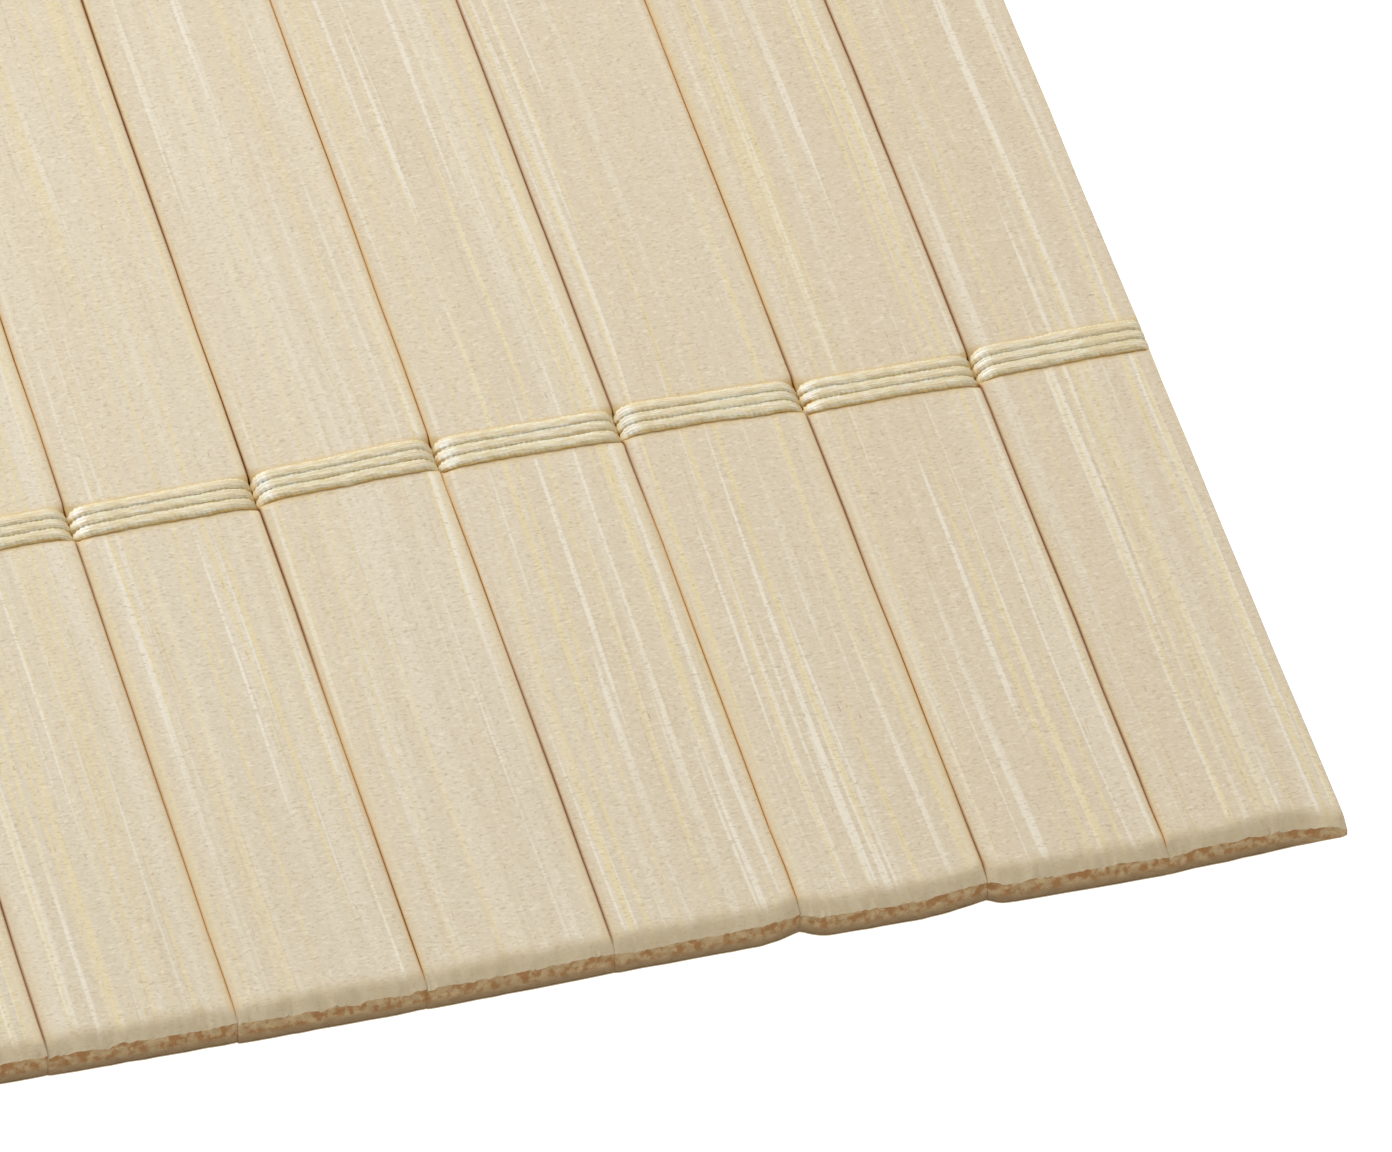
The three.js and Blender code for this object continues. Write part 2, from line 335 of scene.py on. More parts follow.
def bamboo_face():
    """The sanded face: pale straw with long pale and yellow streaks and a mottled grain, and painted
    shade near the ends, along the edges, in the cord dents and under the cord rows.
    """
    m = NodeMaterial("bamboo face")
    p = SlatPattern(m)
    base = m.mix(p.tone * 0.5 + 0.5, colour(220, 208, 184), colour(213, 197, 170))
    cloud = m.noise(m.stretch(p.fibre, (0.16, 0.02, 0.16)), detail=3.0)
    shade = m.mix(cloud.between(0.35, 0.7) * 0.4, base, colour(212, 196, 166))
    # Painted shade: the face darkens towards both ends, more on paler slats, standing in for the light
    # falling off towards the mat's front
    painted_end_falloff = p.depth.between(95.0, 0.0) * (p.tone * -0.5 + 0.5)
    shade = m.mix(painted_end_falloff * 0.27, shade, colour(196, 180, 150))
    gate = p.lines(4.5, 110.0, 0.42, 0.58, shift=11.0)
    soft = p.lines(1.4, 120.0, 0.52, 0.7, shift=3.0)
    shade = m.mix(soft * 0.25, shade, colour(232, 222, 203))
    white = p.lines(0.8, 80.0, 0.58, 0.66, shift=17.0) * (gate * 0.65 + 0.35)
    shade = m.mix(white * 0.65, shade, colour(235, 228, 211))
    yellow = p.lines(0.65, 110.0, 0.57, 0.63, shift=29.0) * (gate * 0.4 + 0.6)
    shade = m.mix(yellow * 0.7, shade, colour(223, 206, 158))
    tan = p.lines(0.4, 24.0, 0.64, 0.74, shift=41.0)
    shade = m.mix(tan * 0.25, shade, colour(199, 178, 141))
    fine = p.grain(0.25)
    scuff = p.grain(0.32, shift=7.0)
    shade = m.mix(fine.between(0.0, 0.5) * 0.6, shade, colour(184, 164, 130))
    shade = m.mix(scuff.between(0.0, 0.55) * 0.45, shade, colour(238, 228, 209))
    speck = p.grain(0.5, shift=61.0, detail=0.0).between(0.76, 0.84)
    dash = p.lines(0.16, 1.6, 0.84, 0.88, shift=71.0, detail=0.0)
    shade = m.mix(speck * 0.4, shade, colour(150, 120, 84))
    shade = m.mix(dash * 0.4, shade, colour(158, 122, 78))
    cut_streak = m.noise(m.stretch(p.place, (1.6, 0.5, 0.9)), detail=3.0).between(0.35, 0.65)
    dull = m.mix(cut_streak * 0.6, colour(201, 182, 147), colour(210, 193, 160))
    dull = m.mix(fine.between(0.0, 0.6) * 0.3, dull, colour(178, 154, 114))
    ragged = m.noise(m.stretch(p.place, (0.8, 0.1, 0.0)), detail=2.0) * 3.0 - 1.5
    shade = m.mix((p.depth + ragged).between(3.0, 0.9) * 0.85, shade, dull)
    clean = p.depth.between(0.4, 1.9)
    to_edge = p.from_left.math("MINIMUM", p.from_right)
    pale_part = m.noise(m.stretch(p.fibre, (0.4, 0.01, 0.4), (9.0, 9.0, 9.0))).between(0.4, 0.6)
    shade = m.mix(to_edge.between(1.4, 0.5) * pale_part * clean * 0.4, shade, colour(225, 210, 172))
    # Painted shade where the long edges roll down towards the gaps
    shade = m.mix(to_edge.between(0.8, 0.1) * clean * 0.35, shade, colour(200, 172, 126))
    dark_part = m.noise(m.stretch(p.place, (0.05, 0.015, 0.0)), detail=1.0).between(0.42, 0.58)
    joint = m.mix(dark_part, colour(204, 158, 94), colour(138, 82, 30))
    groove = to_edge.between(0.13, 0.02) * (cloud * 0.8 + 0.6)
    shade = m.mix(groove * clean * 0.75, shade, joint)
    # Painted shade in the dents where the cord presses the edges down into the gap
    shade = m.mix(p.press_shade * 0.7, shade, colour(186, 142, 82))
    # Painted shadow of the cord rows on the face around them
    shade = m.mix(p.under * 0.6, shade, colour(216, 184, 120))
    height = fine * 0.7 + scuff * 0.7 + white * 0.4 - tan * 0.5
    rough = fine * 0.08 + 0.68
    normal = m.bump(height, 0.03 * MM, 1.0)
    return m.finish(Base_Color=shade, Roughness=rough, Normal=normal, Specular_IOR_Level=0.15)


def bamboo_end():
    """The cut end: brown bundles of pores in a tan ground, orange near the top, with a painted contact
    shadow that darkens it towards the bottom.
    """
    m = NodeMaterial("bamboo end grain")
    p = SlatPattern(m)
    small_cells = {"Vector": m.stretch(p.place, (4.5, 0.0, 5.0)), "Scale": 1.0, "Randomness": 1.0}
    pore = m.value("ShaderNodeTexVoronoi", {"feature": "F1"}, small_cells)
    height = m.node("ShaderNodeSeparateXYZ", {}, {0: p.place}).outputs[2]
    level = Value(m, height)
    patch = m.noise(m.stretch(p.place, (0.9, 0.0, 1.4)), detail=3.0)
    blotch = m.noise(m.stretch(p.place, (1.1, 0.0, 0.8), (5.0, 5.0, 5.0)), detail=3.0)
    ground = m.mix(patch.between(0.35, 0.65), colour(184, 159, 119), colour(168, 141, 102))
    upper = level.between(SLAT_TOP - 2.8, SLAT_TOP - 1.9)
    shade = m.mix(upper * blotch.between(0.43, 0.6) * 0.8, ground, colour(148, 100, 52))
    shade = m.mix(pore.between(0.35, 0.1) * 0.3, shade, colour(118, 84, 52))
    # Painted contact shadow: darker towards the bottom, darkest along the lower edge
    lower = level.between(SLAT_BOTTOM + 1.7, SLAT_BOTTOM + 0.3)
    shade = m.mix(lower * 0.85, shade, colour(120, 96, 68))
    bottom_edge_shadow = level.between(SLAT_BOTTOM + 0.5, SLAT_BOTTOM + 0.1)
    shade = m.mix(bottom_edge_shadow * 0.75, shade, colour(82, 61, 38))
    bumpy = m.bump(pore + blotch, 0.08 * MM, 0.8)
    return m.finish(Base_Color=shade, Roughness=0.85, Normal=bumpy, Specular_IOR_Level=0.15)


def bamboo_wall():
    """The long edges, where the saw left a warm brown wall down in the gap."""
    m = NodeMaterial("bamboo edge wall")
    p = SlatPattern(m)
    streak = p.lines(0.25, 30.0, 0.4, 0.65, shift=19.0)
    warm = m.mix(streak, colour(178, 116, 46), colour(154, 88, 24))
    normal = m.bump(p.grain(0.25), 0.03 * MM, 0.6)
    return m.finish(Base_Color=warm, Roughness=0.7, Normal=normal, Specular_IOR_Level=0.1)


def cotton_cord():
    """Two-ply cotton, cream-yellow, with painted warm shade on its lower flanks and between its plies,
    and painted glints where it rises from a gap. The UV map runs along the cord in mm and round it with
    the plies.
    """
    m = NodeMaterial("cotton cord")
    uv = m.node("ShaderNodeUVMap", {"uv_map": "cord"}, {}).outputs[0]
    parts = m.node("ShaderNodeSeparateXYZ", {}, {0: uv})
    along = Value(m, parts.outputs[0])
    turn = Value(m, parts.outputs[1]) * math.tau
    lobes = (turn * 2.0).math("COSINE")
    free_turn = turn + along * (math.tau / PLY_TURN)
    ring = {0: along * 0.35, 1: free_turn.math("COSINE") * 3.2, 2: free_turn.math("SINE") * 3.2}
    fibre_place = m.node("ShaderNodeCombineXYZ", {}, ring).outputs[0]
    fibre = m.noise(fibre_place, scale=1.6, detail=3.0, roughness=0.6)
    wide = m.noise(m.node("ShaderNodeCombineXYZ", {}, {0: along * 0.12}).outputs[0], detail=2.0)
    lift = Value(m, m.node("ShaderNodeAttribute", {"attribute_name": "lift"}, {}).outputs["Fac"])
    rise = Value(m, m.node("ShaderNodeAttribute", {"attribute_name": "rise"}, {}).outputs["Fac"])
    top = m.mix(wide.between(0.3, 0.7), colour(224, 209, 174), colour(218, 200, 159))
    # Painted shade: the lower flanks and the grooves between strands are a darker, warmer yellow than the
    # tops
    flank_shade = m.mix(lift.between(-0.1, 0.4), colour(240, 180, 78), colour(243, 206, 124))
    shade = m.mix(lift.between(0.05, 0.75), flank_shade, top)
    # Painted shade in the grooves between the plies
    shade = m.mix(lobes.between(-0.3, -1.0) * 0.12, shade, colour(210, 178, 112))
    shade = m.mix(fibre.between(0.48, 0.64) * 0.75, shade, colour(246, 239, 220))
    shade = m.mix(fibre.between(0.48, 0.3) * 0.55, shade, colour(208, 178, 116))
    # Painted highlight: white glints on the tops where a strand rises out of a gap
    glint = rise.between(0.02, 0.3) * lift.between(0.3, 0.8) * fibre.between(0.42, 0.54)
    shade = m.mix(glint * 0.8, shade, colour(252, 248, 238))
    normal = m.bump(fibre + lobes * 0.25, 0.09 * MM, 1.0)
    return m.finish(
        Base_Color=shade,
        Roughness=lift.between(0.3, 0.9) * -0.45 + 0.9,
        Normal=normal,
        Specular_IOR_Level=0.4,
        Subsurface_Weight=0.5,
        Subsurface_Radius=(1.0, 0.7, 0.3),
        Subsurface_Scale=0.7 * MM,
    )


# Slats


def end_line(node, side):
    """The outline of a slat's cut end, read from the frame, as Y for any X, in millimetres."""
    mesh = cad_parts[node].data
    co = np.array([v.co for v in mesh.vertices]) / MM
    middle = (co[:, 1].min() + co[:, 1].max()) / 2
    reach = abs(side * co[:, 1] - side * middle).max()
    near = side * (co[:, 1] - middle) > reach - END_LINE_REACH
    lower = co[near & (co[:, 2] < SLAT_MIDDLE)]
    order = np.argsort(lower[:, 0])
    return lambda x: np.interp(x, lower[order, 0], lower[order, 1])


def wander(rng, start, end, step, amount):
    """A smooth random function from start to end, with a free value every step."""
    knots = np.arange(start - step, end + 2 * step, step)
    values = rng.normal(0.0, amount, len(knots))
    return lambda at: np.interp(at, knots, values)


def cut(bm, faces, place, normal):
    """Slices the given faces along a plane; place is in millimetres."""
    edges = {e for f in faces for e in f.edges}
    verts = {v for f in faces for v in f.verts}
    bmesh.ops.bisect_plane(
        bm,
        geom=[*verts, *edges, *faces],
        dist=1e-9,
        plane_co=Vector(place) * MM,
        plane_no=normal,
    )


def slat_blank(left, right, front, back):
    """A strip with its upper long edges rounded, sliced where its shape changes."""
    bm = bmesh.new()
    bmesh.ops.create_cube(bm, size=1.0)
    size = Vector((right - left, back - front, SLAT_TOP - SLAT_BOTTOM)) * MM
    middle = Vector(((left + right) / 2, (front + back) / 2, SLAT_MIDDLE)) * MM
    bmesh.ops.scale(bm, vec=size, verts=bm.verts)
    bmesh.ops.translate(bm, vec=middle, verts=bm.verts)
    long_edges = [e for e in bm.edges if abs(e.verts[0].co.y - e.verts[1].co.y) > size.y / 2]
    upper_edges = [e for e in long_edges if e.verts[0].co.z > middle.z]
    bmesh.ops.bevel(
        bm,
        geom=upper_edges,
        offset=EDGE_RADIUS * MM,
        segments=EDGE_SEGMENTS,
        profile=0.5,
        affect="EDGES",
        material=-1,
    )
    rings = [front + s for s in END_RINGS] + [back - s for s in END_RINGS]
    dents = np.linspace(-ROW_RING_REACH, ROW_RING_REACH, ROW_RINGS)
    rings += [y + d for y in ROW_Y for d in dents]
    spots = np.linspace(front + FACE_RING_START, back - FACE_RING_START, FACE_RINGS)
    rings += [y for y in spots if min(abs(y - row) for row in ROW_Y) > FACE_RINGS_CLEAR]
    for y in sorted(rings):
        cut(bm, bm.faces[:], (0.0, y, 0.0), (0, 1, 0))
    rim = EDGE_RADIUS + EDGE_SUPPORT
    columns = [*np.linspace(left, right, FACE_COLUMNS)[1:-1], left + rim, right - rim]
    sinks = [SINK_WIDTH * share for share in SINK_COLUMNS]
    columns += [left + sink for sink in sinks] + [right - sink for sink in sinks]
    for x in columns:
        cut(bm, bm.faces[:], (x, 0.0, 0.0), (1, 0, 0))
    count = int((right - left - 2 * EDGE_RADIUS) / COLUMN)
    for x in np.linspace(left + EDGE_RADIUS, right - EDGE_RADIUS, count)[1:-1]:
        cut(bm, end_faces(bm, front, back), (x, 0.0, 0.0), (1, 0, 0))
    for level in end_levels():
        ends = [f for f in bm.faces if abs(f.normal.y) > 0.9]
        cut(bm, ends, (0.0, 0.0, level), (0, 0, 1))
    return bm


def end_levels():
    """The heights at which a cut end is sliced, in millimetres."""
    return np.linspace(SLAT_BOTTOM, SLAT_TOP, END_LEVELS + 2)[1:-1]


def end_faces(bm, front, back):
    """The faces within the fine zone at each end."""
    reach_front = (front + END_ZONE + SAME_PLACE) * MM
    reach_back = (back - END_ZONE - SAME_PLACE) * MM
    near = []
    for face in bm.faces:
        ys = [v.co.y for v in face.verts]
        if max(ys) < reach_front or min(ys) > reach_back:
            near.append(face)
    return near


def bevel_share(at):
    """How far down the bevel is, as a share of its drop, at a depth given as a share of its run."""
    bend = np.clip(at, 1.0 - BEVEL_BEND, 1.0 + BEVEL_BEND) - (1.0 - BEVEL_BEND)
    return np.clip(1.0 - at, BEVEL_BEND, None) - bend + bend**2 / (4 * BEVEL_BEND)


def end_share(depth):
    """1 in the fine zone at an end, and 0 where the end's shape has faded out."""
    return np.clip(1.0 - (depth - END_ZONE) / END_FADE, 0.0, 1.0)


def corner_round(to_edge, depth):
    """How far back the end lies near a slat's side, where its corner is rounded to this depth."""
    return depth * np.clip(1.0 - to_edge / (CORNER_SPREAD * depth), 0.0, 1.0) ** 2


def shape_end(co, rng, side, blank_end, line, left, right, corners):
    """Moves one end of a slat to its sawn line, and sands its bevel; co is in millimetres."""
    x, y, z = co.T
    depth = side * (blank_end - y)
    near = depth < NEAR_END
    corner = corner_round(x - left, corners[0]) + corner_round(right - x, corners[1])
    stray = wander(rng, left, right, END_STRAY_STEP, END_STRAY)(x)
    shift = line(x) - blank_end - side * (corner + np.abs(stray))
    run = BEVEL_RUN + wander(rng, left, right, BEVEL_RUN_STEP, BEVEL_WANDER)(x)
    drop = BEVEL_DROP + wander(rng, left, right, BEVEL_DROP_STEP, BEVEL_WANDER * 0.7)(x)
    drop = drop + np.abs(wander(rng, left, right, COLUMN, BEVEL_NICK)(x)) * 0.8 - 0.08
    drop = np.clip(drop, LEAST_DROP, MOST_DROP)
    tall = SLAT_TOP - SLAT_BOTTOM
    lowered = SLAT_BOTTOM + (z - SLAT_BOTTOM) * (1.0 - drop * bevel_share(depth / run) / tall)
    on_end = depth < SAME_PLACE
    inland = np.clip(np.minimum(x - left, right - x) - EDGE_RADIUS, 0.0, 1.0)
    rough = np.zeros(len(co))
    for level in end_levels():
        pits = np.abs(wander(rng, left, right, COLUMN, END_ROUGHNESS)(x)) * inland
        rough = np.where(on_end & (np.abs(z - level) < SAME_PLACE), pits, rough)
    arris = on_end & (z < SLAT_BOTTOM + 0.1)
    fade = end_share(depth)
    moved = y + np.where(near, shift * fade, 0.0) - side * (rough + np.where(arris, ARRIS, 0.0))
    raised = np.where(near, lowered, z) + np.where(arris, ARRIS * 0.6, 0.0)
    return np.column_stack([x, moved, raised])


def shape_mat_corner(co, depth, right):
    """Draws out the right front corner of the mat, and thins it from below; co is in millimetres."""
    x, y, z = co.T
    reach = np.clip(1.0 - (right - x) / MAT_CORNER_REACH, 0.0, 1.0) ** 2
    share = reach * end_share(depth)
    solid = SLAT_TOP - MAT_CORNER_SOLID
    below = np.clip((solid - z) / (solid - SLAT_BOTTOM), 0.0, 1.0)
    return np.column_stack([x, y - MAT_CORNER_OUT * share, z + MAT_CORNER_RISE * share * below])


def joint_line(number, front, back):
    """How far the joint at the right of a slat strays to the right, as a function of Y."""
    rng = np.random.default_rng(JOINT_SEED + number)
    return wander(rng, front, back, JOINT_STRAY_STEP, EDGE_WANDER)


def dent_share(y, middle):
    """1 in the middle of a dent, and 0 beyond its ends."""
    share = np.clip((DENT_REACH - np.abs(y - middle)) / (DENT_REACH - DENT_FLAT), 0.0, 1.0)
    return share * share * (3.0 - 2.0 * share)


def joint_opening(number, front, back):
    """How far the joint at the right of a slat has opened, as a function of Y."""
    rng = np.random.default_rng(OPENING_SEED + number)
    open_line = wander(rng, front, back, JOINT_OPEN_STEP, JOINT_OPEN)
    return lambda y: np.abs(open_line(y))


def shape_edges(co, depth, number, corners, box, drifts):
    """Crowns the faces, lets the joints stray, and presses dents at the cord rows; co is in millimetres.

    Also returns how much the cord has pressed the slat at each vertex, the mask of the painted shade in
    the dents, and 1 where a cord row covers it, the mask of the cord rows' painted shadow.
    """
    left, right, front, back = box
    x, y, z = co.T
    half = (right - left) / 2
    across = (x - left) / half - 1.0
    to_edge = half - np.abs(across) * half
    on_left = across < 0
    outer = np.where(on_left, number == 1, number == len(SLATS))
    upper = (z - SLAT_MIDDLE) / (SLAT_TOP - SLAT_MIDDLE)
    dent = 0.0
    under = 0.0
    for row, drift in zip(ROW_Y, drifts):
        middle = row + np.where(on_left, drift(left + DRIFT_INSET), drift(right - DRIFT_INSET))
        dent = dent + dent_share(y, middle)
        # Where the cord rows cast their painted shadow on the face
        from_row = np.abs(y - row - drift(x) - ROW_SHIFT)
        under = under + np.clip((ROW_SHADOW_REACH - from_row) / ROW_SHADOW_FADE, 0.0, 1.0)
    deepest = np.where(outer, OUTER_SINK, DENT_SINK) * dent
    sink = deepest * np.clip(1.0 - to_edge / SINK_WIDTH, 0.0, 1.0) ** SINK_CURVE
    z = z - (CROWN * across**2 + sink) * upper
    nearness = np.clip(1.0 - to_edge / EDGE_RADIUS, 0.0, 1.0) ** 0.5
    stray = np.where(
        on_left,
        joint_line(number - 1, front, back)(y),
        joint_line(number, front, back)(y),
    )
    tight = np.where(on_left, corners[0] < TIGHT_CORNER, corners[1] < TIGHT_CORNER)
    close = np.where(tight, END_CLOSE, 0.0) * np.clip(1.0 - depth / CLOSE_REACH, 0.0, 1.0)
    opening = np.where(
        on_left,
        joint_opening(number - 1, front, back)(y),
        joint_opening(number, front, back)(y),
    )
    opening = opening * np.clip(depth / OPEN_REACH, 0.0, 1.0) / 2
    proud = np.where(outer, 0.0, EDGE_PROUD + close - opening)
    worn = np.where(outer, 0.0, DENT_DEPTH) * dent * np.clip(1.0 - to_edge / DENT_WIDTH, 0.0, 1.0)
    x = x + stray * nearness + np.sign(across) * (proud * nearness - worn)
    # Mask of the painted shade in the dent beside a cord crossing
    press_shade = np.where(outer, 0.0, dent * np.clip(1.0 - to_edge / DENT_WIDTH, 0.0, 1.0))
    return np.column_stack([x, y, z]), press_shade, under


def assign_finishes(mesh, depth):
    """Gives each face its finish: the sanded face, the cut end or the wall in the gap."""
    for face in mesh.polygons:
        if depth[list(face.vertices)].max() < SAME_PLACE:
            face.material_index = 1
        elif abs(face.normal.x) > WALL_FACING:
            face.material_index = 2


def slat_look(number, rng):
    """How yellow a slat is, and how far its left and right corners are rounded back."""
    from_right = len(SLATS) - number
    if from_right < len(SLAT_LOOKS):
        row = SLAT_LOOKS[from_right]
        return row["tone"], (row["left_corner"], row["right_corner"])
    return rng.uniform(-1.0, 1.0), tuple(rng.choice(CHANCE_CORNERS, 2))


def make_slat(node, number, materials, drifts):
    """One slat, replacing its solid."""
    a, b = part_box(node)
    left, right = a.x / MM, b.x / MM
    front, back = a.y / MM, b.y / MM
    rng = np.random.default_rng(SLAT_SEED + number)
    tone, corners = slat_look(number, rng)
    bm = slat_blank(left, right, front, back)
    mesh = bpy.data.meshes.new(f"slat_face_{number:02d}")
    bm.to_mesh(mesh)
    bm.free()
    co = np.empty(len(mesh.vertices) * 3)
    mesh.vertices.foreach_get("co", co)
    co = co.reshape(-1, 3) / MM
    from_left = co[:, 0] - left + (JOINTLESS if number == 1 else 0.0)
    from_right = right - co[:, 0] + (JOINTLESS if number == len(SLATS) else 0.0)
    place = np.column_stack([from_left, from_right, np.full(len(co), tone)])
    from_front = co[:, 1] - front
    depth = np.minimum(from_front, back - co[:, 1])
    co = shape_end(co, rng, -1, front, end_line(node, -1), left, right, corners)
    co = shape_end(co, rng, 1, back, end_line(node, 1), left, right, corners)
    if number == len(SLATS):
        co = shape_mat_corner(co, from_front, right)
    co, press_shade, under = shape_edges(co, depth, number, corners, (left, right, front, back), drifts)
    mesh.vertices.foreach_set("co", (co * MM).ravel())
    attribute = mesh.attributes.new("slat", "FLOAT_VECTOR", "POINT")
    attribute.data.foreach_set("vector", place.ravel())
    mesh.attributes.new("depth", "FLOAT", "POINT").data.foreach_set("value", depth)
    # Mask of the painted shade in the cord dents
    mesh.attributes.new("press_shade", "FLOAT", "POINT").data.foreach_set("value", press_shade)
    # Mask of the cord rows' painted shadow on the face
    mesh.attributes.new("under", "FLOAT", "POINT").data.foreach_set("value", under)
    for material in materials:
        mesh.materials.append(material)
    mesh.update()
    assign_finishes(mesh, depth)
    mesh.shade_smooth()
    mesh.set_sharp_from_angle(angle=math.radians(SHARP_ANGLE))
    place_piece(mesh, f"bamboo_slat_{number:02d}", node)


def place_piece(mesh, name, node):
    """Puts a finished mesh in the scene, in place of a solid."""
    piece = bpy.data.objects.new(name, mesh)
    bpy.context.scene.collection.objects.link(piece)
    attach(piece, "root")
    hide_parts(node)


# Cords

# The way of a strand past a gap, from the gap into the slat: how far in and how far out from the
# slat's face (in mm), and its width and height as shares of a strand's.
GAP_STEPS = [
    {"into": 0.00, "out": None, "width": 0.70, "height": 1.00},
    {"into": 0.20, "out": -1.05, "width": 0.85, "height": 0.95},
    {"into": 0.42, "out": -0.60, "width": 0.92, "height": 0.95},
    {"into": 0.75, "out": -0.30, "width": 0.97, "height": 0.95},
    {"into": 1.20, "out": -0.10, "width": 1.00, "height": 0.97},
    {"into": 1.80, "out": 0.02, "width": 1.00, "height": 1.00},
    {"into": 2.60, "out": STRAND_OUT, "width": 1.00, "height": 1.00},
]

# And its way round an outer edge of the mat, where it is pulled tight over the slat
WRAP_STEPS = [
    {"into": -0.06, "out": None, "width": 1.00, "height": 0.50},
    {"into": -0.06, "out": -0.90, "width": 1.00, "height": 0.50},
    {"into": -0.01, "out": -0.35, "width": 1.00, "height": 0.50},
    {"into": 0.16, "out": -0.10, "width": 1.00, "height": 0.60},
    {"into": 0.55, "out": -0.02, "width": 1.00, "height": 0.75},
    {"into": 1.20, "out": 0.04, "width": 1.00, "height": 0.90},
    {"into": 2.20, "out": STRAND_OUT, "width": 1.00, "height": 1.00},
]


def half_crossing(gaps, index, inward, side, first):
    """Control rows (x, z, width, height) from a gap on to a slat's face, or without the gap itself."""
    steps = WRAP_STEPS if index in (0, len(gaps) - 1) else GAP_STEPS
    rows = []
    for step in steps[0 if first else 1 :]:
        x = gaps[index] + inward * step["into"]
        if step["out"] is None:
            z = SLAT_MIDDLE
        else:
            z = SLAT_MIDDLE + side * ((SLAT_TOP - SLAT_BOTTOM) / 2 + step["out"])
        rows.append([x, z, step["width"], step["height"]])
    return rows


def row_drift(gaps, rng):
    """How far the row lies towards the back at any X."""
    places = []
    values = []
    for i in range(len(gaps) - 1):
        from_right = len(gaps) - 2 - i
        if from_right < len(ROW_DRIFT):
            row = ROW_DRIFT[from_right]
            ends = [row["left"], row["right"]]
        else:
            ends = list(rng.normal(0.0, CHANCE_DRIFT, 2))
        places += [gaps[i] + DRIFT_INSET, gaps[i + 1] - DRIFT_INSET]
        values += ends
    return lambda x: np.interp(x, places, values)


def strand_route(gaps, start_side, direction):
    """Control rows for one way along the mat, over and under the slats by turns."""
    order = range(len(gaps) - 1) if direction > 0 else range(len(gaps) - 2, -1, -1)
    side = start_side
    rows = []
    for i in order:
        near, far = (i, i + 1) if direction > 0 else (i + 1, i)
        enter = half_crossing(gaps, near, direction, side, True)
        leave = half_crossing(gaps, far, -direction, side, False)[::-1]
        middle_share = np.linspace(0, 1, 5)[1:-1]
        face = [np.array(enter[-1]) * (1 - s) + np.array(leave[0]) * s for s in middle_share]
        rows += enter + [list(row) for row in face] + leave
        side = -side
    return rows


def smooth_loop(rows, step):
    """A closed Catmull-Rom curve through the rows, with its points an even step apart."""
    points = np.array(rows)
    before, after, later = (np.roll(points, s, axis=0) for s in (1, -1, -2))
    share = np.linspace(0, 1, CURVE_SHARES, endpoint=False)[None, :, None]
    p0, p1, p2, p3 = (p[:, None, :] for p in (before, points, after, later))
    curve = 0.5 * (
        2 * p1
        + (p2 - p0) * share
        + (2 * p0 - 5 * p1 + 4 * p2 - p3) * share**2
        + (3 * p1 - p0 - 3 * p2 + p3) * share**3
    )
    dense = curve.reshape(-1, points.shape[1])
    closed = np.vstack([dense, dense[:1]])
    lengths = np.hypot(*np.diff(closed[:, :2], axis=0).T)
    along = np.concatenate([[0.0], np.cumsum(lengths)])
    count = int(along[-1] / step)
    at = np.arange(count + 1) * along[-1] / count
    return at, np.column_stack([np.interp(at, along, column) for column in closed.T])


def strand_mesh(rng, rows, row_y, lane, drift):
    """One endless strand as a tube, with its UV map along it in mm and round it once."""
    at, route = smooth_loop(rows, STRAND_STEP)
    x, z, width, height = route.T
    length = at[-1]
    own = wander(rng, 0, length, STRAND_WANDER_STEP, STRAND_WANDER)(at)
    own[-1] = own[0]
    swell = 1.0 + wander(rng, 0, length, STRAND_SWELL_STEP, STRAND_SWELL)(at)
    swell[-1] = swell[0]
    width = width * swell
    y = row_y + ROW_SHIFT + lane * LANE_STEP + own + drift(x)
    tangent = np.column_stack([np.gradient(x), np.gradient(z)])
    tangent[0] = tangent[-1] = tangent[0] + tangent[-1]
    tangent /= np.linalg.norm(tangent, axis=1)[:, None]
    bm = bmesh.new()
    bm.loops.layers.uv.new("cord")
    count = len(at) - 1
    bmesh.ops.create_grid(bm, x_segments=count, y_segments=STRAND_SIDES, size=1.0, calc_uvs=True)
    mesh = bpy.data.meshes.new("strand")
    bm.to_mesh(mesh)
    bm.free()
    grid = np.empty(len(mesh.vertices) * 3)
    mesh.vertices.foreach_get("co", grid)
    grid = grid.reshape(-1, 3)
    station = np.rint((grid[:, 0] + 1) / 2 * count).astype(int)
    around = (grid[:, 1] + 1) / 2 * math.tau
    turns = round(length / PLY_TURN)
    twisted = around + at[station] / length * turns * math.tau
    lobe = 1.0 + PLY_LOBE * np.cos(2 * around)
    tall = STRAND_HEIGHT * height
    side_way = np.cos(twisted) * lobe * STRAND_WIDTH / 2 * width[station]
    up_way = np.sin(twisted) * lobe * tall[station] / 2
    co = np.column_stack(
        [
            x[station] - tangent[station, 1] * up_way,
            y[station] + side_way,
            z[station] + tangent[station, 0] * up_way,
        ]
    )
    mesh.vertices.foreach_set("co", (co * MM).ravel())
    lift = np.sin(twisted) * tangent[station, 0] * np.sign(z[station] - SLAT_MIDDLE)
    mesh.attributes.new("lift", "FLOAT", "POINT").data.foreach_set("value", lift)
    rise = tangent[station, 1] * np.sign(tangent[station, 0] * (z[station] - SLAT_MIDDLE))
    mesh.attributes.new("rise", "FLOAT", "POINT").data.foreach_set("value", rise)
    coords = np.empty(len(mesh.loops) * 2)
    layer = mesh.uv_layers["cord"]
    layer.data.foreach_get("uv", coords)
    coords = coords.reshape(-1, 2) * (turns * PLY_TURN, 1.0)
    layer.data.foreach_set("uv", coords.ravel())
    return mesh


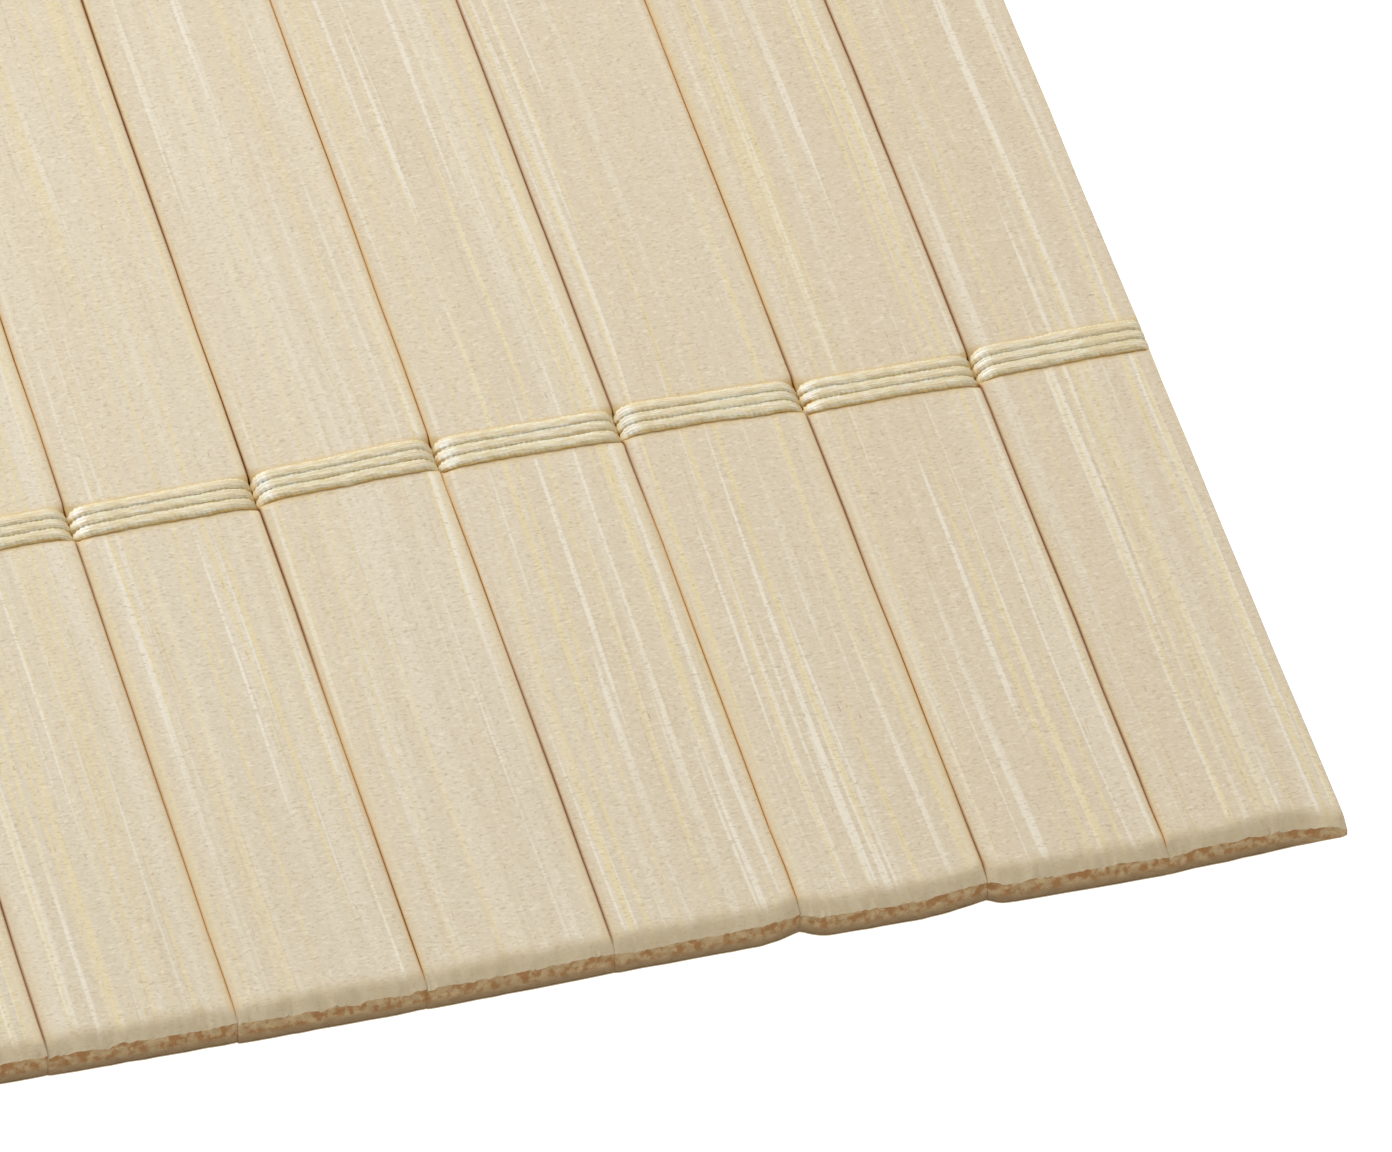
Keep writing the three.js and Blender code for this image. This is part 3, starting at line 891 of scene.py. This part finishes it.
def make_cord_row(node, number, gaps, material, drift):
    """A whole cord row: three endless strands, joined in one mesh."""
    rng = np.random.default_rng(STRAND_SEED + number)
    bm = bmesh.new()
    first_side = 1 if (len(gaps) - 2) % 2 == 0 else -1
    for lane in range(STRANDS):
        offset = lane - (STRANDS - 1) / 2
        out = strand_route(gaps, first_side, 1)
        home = strand_route(gaps, -1, -1)
        mesh = strand_mesh(rng, out + home, row_middle(node), offset, drift)
        bm.from_mesh(mesh)
        bpy.data.meshes.remove(mesh)
    bmesh.ops.remove_doubles(bm, verts=bm.verts, dist=1e-7)
    bmesh.ops.recalc_face_normals(bm, faces=bm.faces)
    mesh = bpy.data.meshes.new(f"cord_strands_{number}")
    bm.to_mesh(mesh)
    bm.free()
    mesh.materials.append(material)
    mesh.shade_smooth()
    place_piece(mesh, f"cord_strands_{number}", node)


def slat_gaps():
    """X of each gap between slats, with the two outer edges of the mat, in millimetres."""
    boxes = [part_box(node) for node in SLATS]
    edges = [(a.x / MM, b.x / MM) for a, b in boxes]
    between = [(edges[i][1] + edges[i + 1][0]) / 2 for i in range(len(edges) - 1)]
    return [edges[0][0], *between, edges[-1][1]]


# The floor, the lights and the camera


def make_floor():
    bm = bmesh.new()
    bmesh.ops.create_grid(bm, x_segments=1, y_segments=1, size=FLOOR_SIZE)
    mesh = bpy.data.meshes.new("floor")
    bm.to_mesh(mesh)
    bm.free()
    m = NodeMaterial("white table")
    white = m.finish(
        Base_Color=(0.25, 0.25, 0.25, 1.0),
        Roughness=0.9,
        Emission_Color=(1.0, 1.0, 1.0, 1.0),
        Emission_Strength=1.0,
    )
    mesh.materials.append(white)
    floor = bpy.data.objects.new("floor", mesh)
    bpy.context.scene.collection.objects.link(floor)


def make_light(name, place, aim, size, power, tint):
    data = bpy.data.lights.new(name, "AREA")
    data.shape = "SQUARE"
    data.size = size
    data.energy = power
    data.color = tint
    light = bpy.data.objects.new(name, data)
    light.location = place
    light.rotation_euler = (Vector(aim) - Vector(place)).to_track_quat("-Z", "Y").to_euler()
    bpy.context.scene.collection.objects.link(light)


def make_lights():
    aim = (0.1, -0.1, 0.0)
    make_light("window", (-0.34, 0.72, 0.7), aim, 0.8, 11.5, (0.96, 0.98, 1.03))
    make_light("ceiling", (0.2, 0.3, 2.4), aim, 2.2, 16.0, (1.0, 1.0, 1.0))
    make_light("front", (0.6, -1.9, 0.8), aim, 1.2, 2.4, (1.0, 0.98, 0.94))
    world = bpy.data.worlds.new("studio")
    world.use_nodes = True
    world.node_tree.nodes["Background"].inputs["Color"].default_value = (1.0, 1.0, 1.0, 1.0)
    world.node_tree.nodes["Background"].inputs["Strength"].default_value = 0.42
    bpy.context.scene.world = world
    bpy.context.scene.view_settings.view_transform = "Standard"


def make_camera():
    azimuth = math.radians(CAMERA_AZIMUTH)
    elevation = math.radians(CAMERA_ELEVATION)
    back = Vector(
        (
            math.sin(azimuth) * math.cos(elevation),
            -math.cos(azimuth) * math.cos(elevation),
            math.sin(elevation),
        )
    )
    aim = Vector((MAT_RIGHT - AIM_FROM_RIGHT_EDGE, MAT_FRONT + AIM_FROM_FRONT, SLAT_TOP)) * MM
    data = bpy.data.cameras.new("camera")
    data.lens = CAMERA_LENS
    data.sensor_width = 36.0
    data.clip_start = 0.05
    data.clip_end = 20.0
    camera = bpy.data.objects.new("camera", data)
    camera.location = aim + back * CAMERA_DISTANCE * MM
    camera.rotation_euler = (-back).to_track_quat("-Z", "Y").to_euler()
    bpy.context.scene.collection.objects.link(camera)
    bpy.context.scene.camera = camera


make_camera()
make_floor()
make_lights()

gaps = slat_gaps()
drift_rngs = [np.random.default_rng(DRIFT_SEED + number) for number in range(len(CORD_ROWS))]
drifts = [row_drift(gaps, rng) for rng in drift_rngs]

slat_materials = [bamboo_face(), bamboo_end(), bamboo_wall()]
for number, node in enumerate(SLATS, start=1):
    make_slat(node, number, slat_materials, drifts)

cord_material = cotton_cord()
for number, node in enumerate(CORD_ROWS, start=1):
    make_cord_row(node, number, gaps, cord_material, drifts[number - 1])
